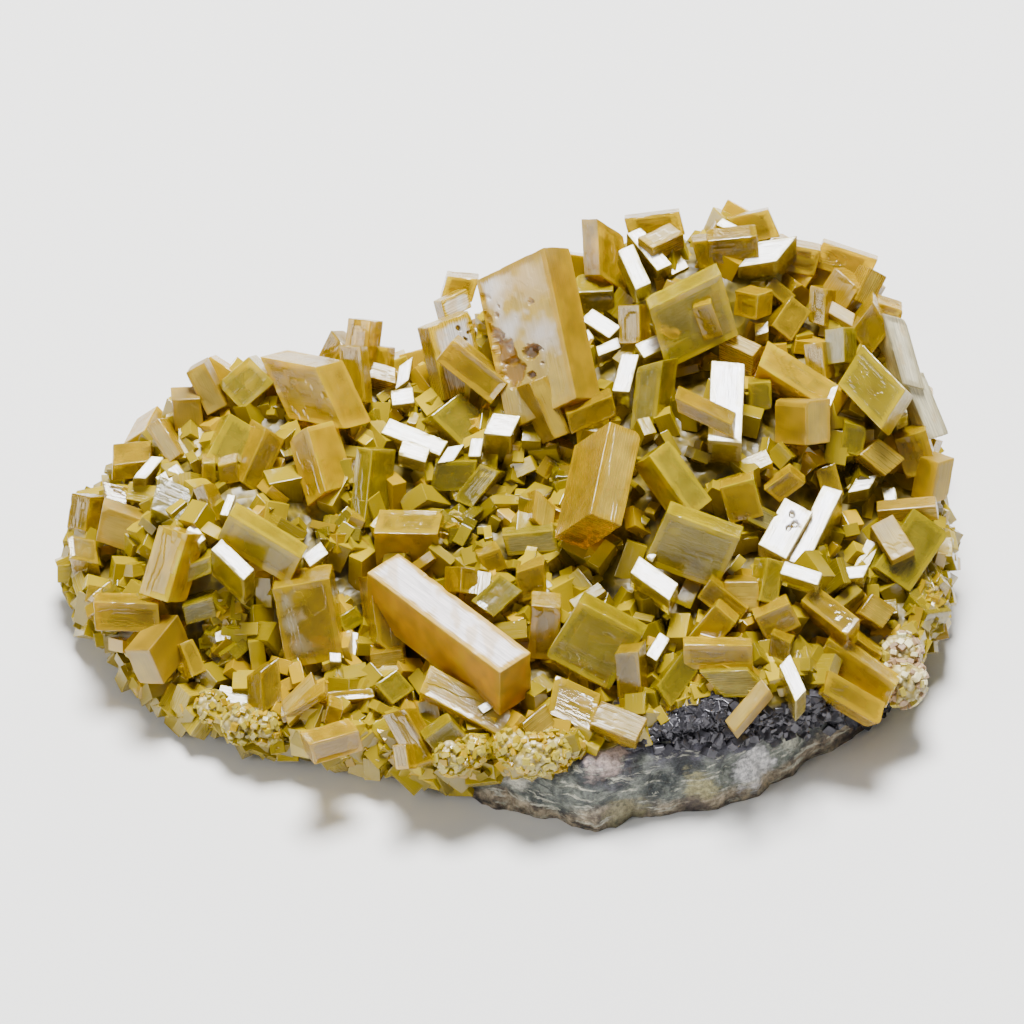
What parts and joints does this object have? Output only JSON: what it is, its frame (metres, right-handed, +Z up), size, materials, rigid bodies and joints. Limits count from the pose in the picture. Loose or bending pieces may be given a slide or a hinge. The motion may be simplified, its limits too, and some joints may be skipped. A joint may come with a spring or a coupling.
{
  "type": "barite mineral specimen",
  "caption": "Crust of grown-together golden tabular crystals on a slab of dark rock, which rests on its flat underside.",
  "frame": {"origin": "middle of the box around the specimen, on the surface that it rests on", "axes": "+X to the right along its length, +Y to the high back edge, +Z up"},
  "size_m": [0.1202, 0.0852, 0.0457],
  "materials": {
    "golden_barite": "glossy",
    "dark_rock": "rough"
  },
  "bodies": {
    "root": {"barite_crystals": "golden_barite", "rock_matrix": "dark_rock"}
  },
  "joints": []
}
